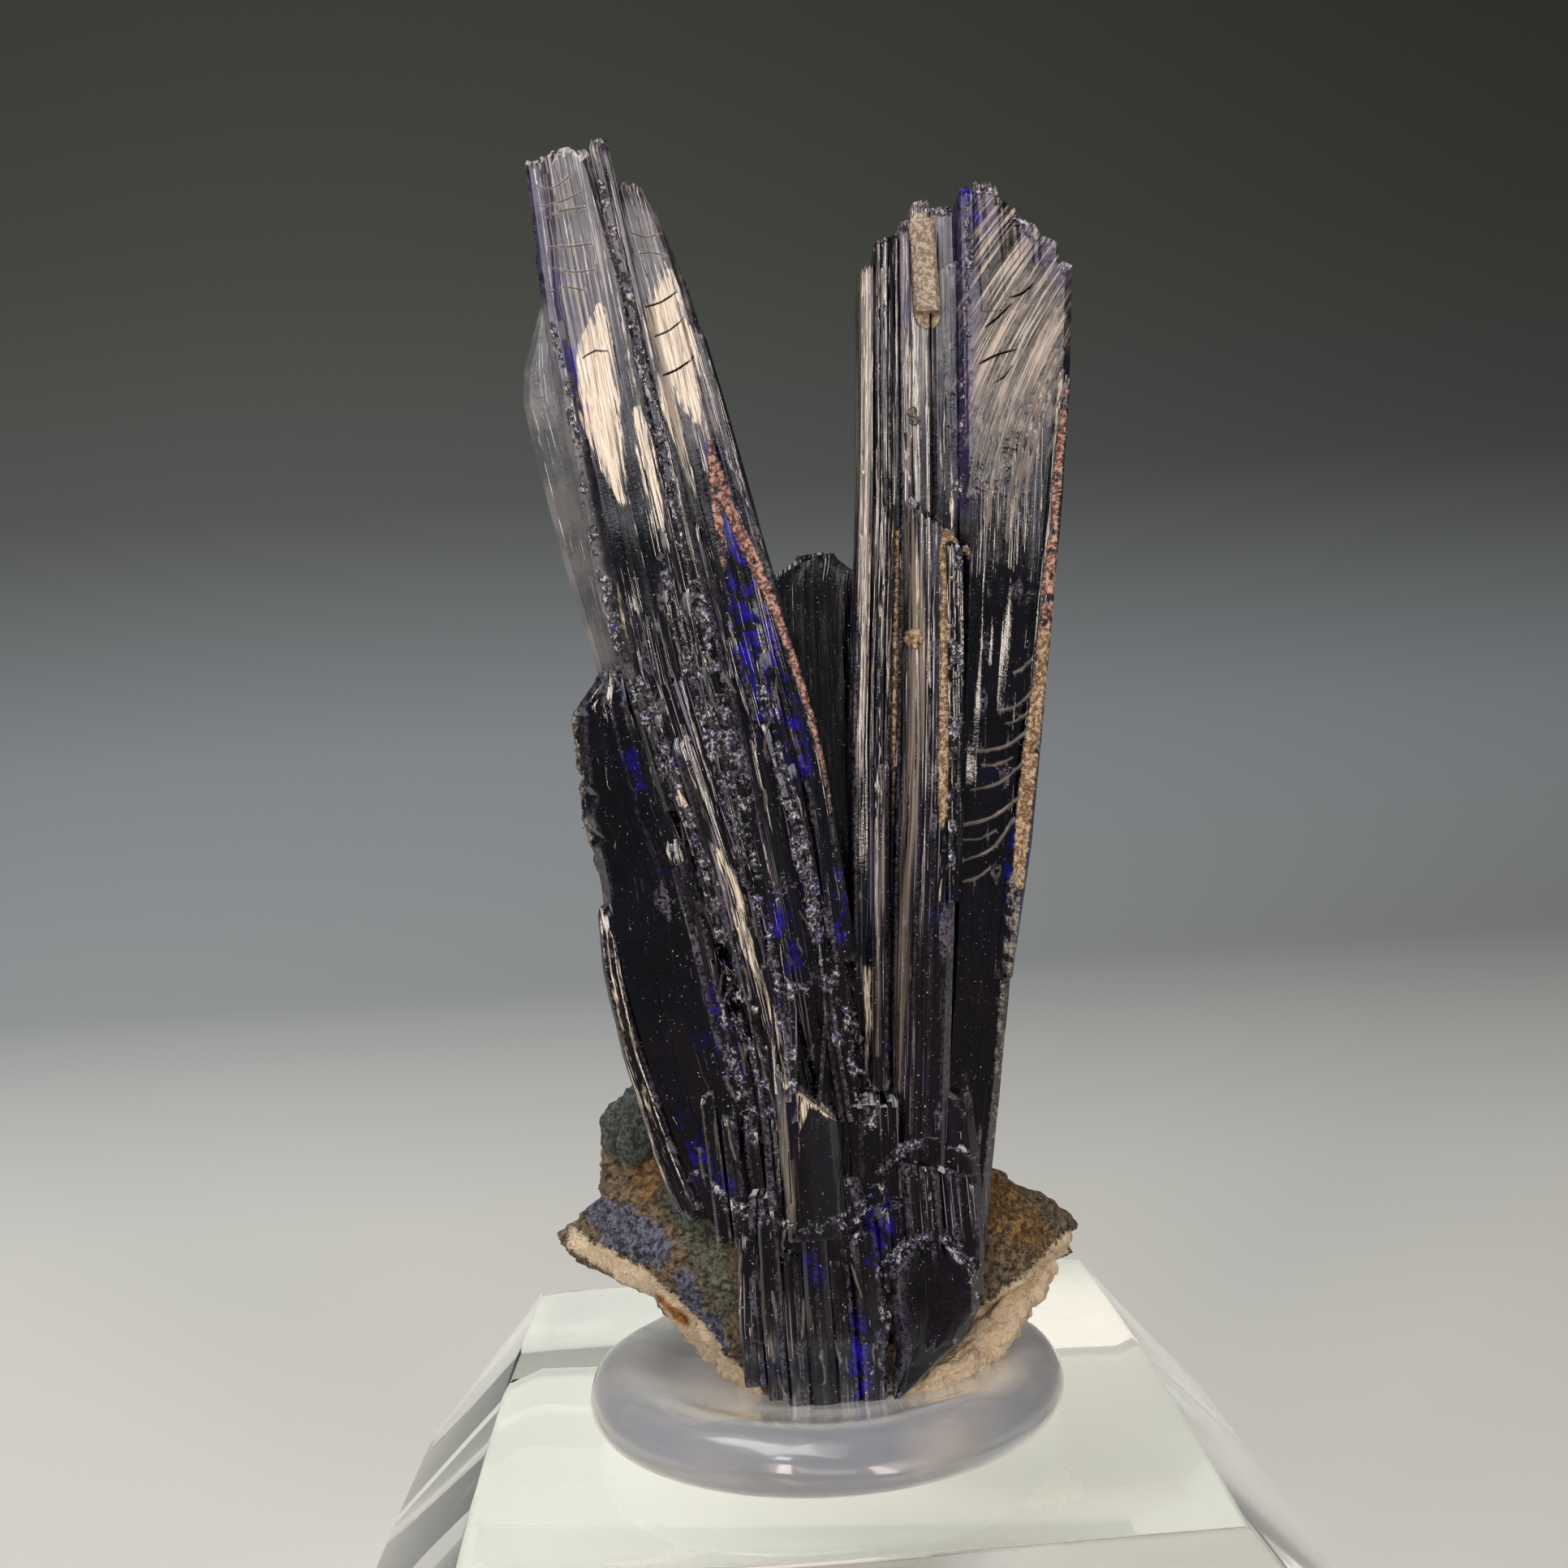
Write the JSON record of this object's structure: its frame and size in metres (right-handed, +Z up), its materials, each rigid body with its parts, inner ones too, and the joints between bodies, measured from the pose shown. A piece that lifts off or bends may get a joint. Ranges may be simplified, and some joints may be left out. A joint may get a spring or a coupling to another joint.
{
  "type": "azurite crystal cluster",
  "caption": "Dark blue bladed mineral crystals rising in a V from iron-stained rock, fixed with clear putty on a faceted clear display block.",
  "frame": {"origin": "middle of the display block's underside", "axes": "+Z up; -Y is the specimen's display side; the block's sides are parallel to X and Y"},
  "size_m": [0.0384, 0.0384, 0.0668],
  "materials": {
    "azurite": "polished",
    "matrix": "matte",
    "tack": "satin",
    "acrylic": "polished"
  },
  "bodies": {
    "root": {"azurite_crystals": "azurite", "matrix": "matrix", "mineral_tack": "tack", "acrylic_base": "acrylic"}
  },
  "joints": []
}
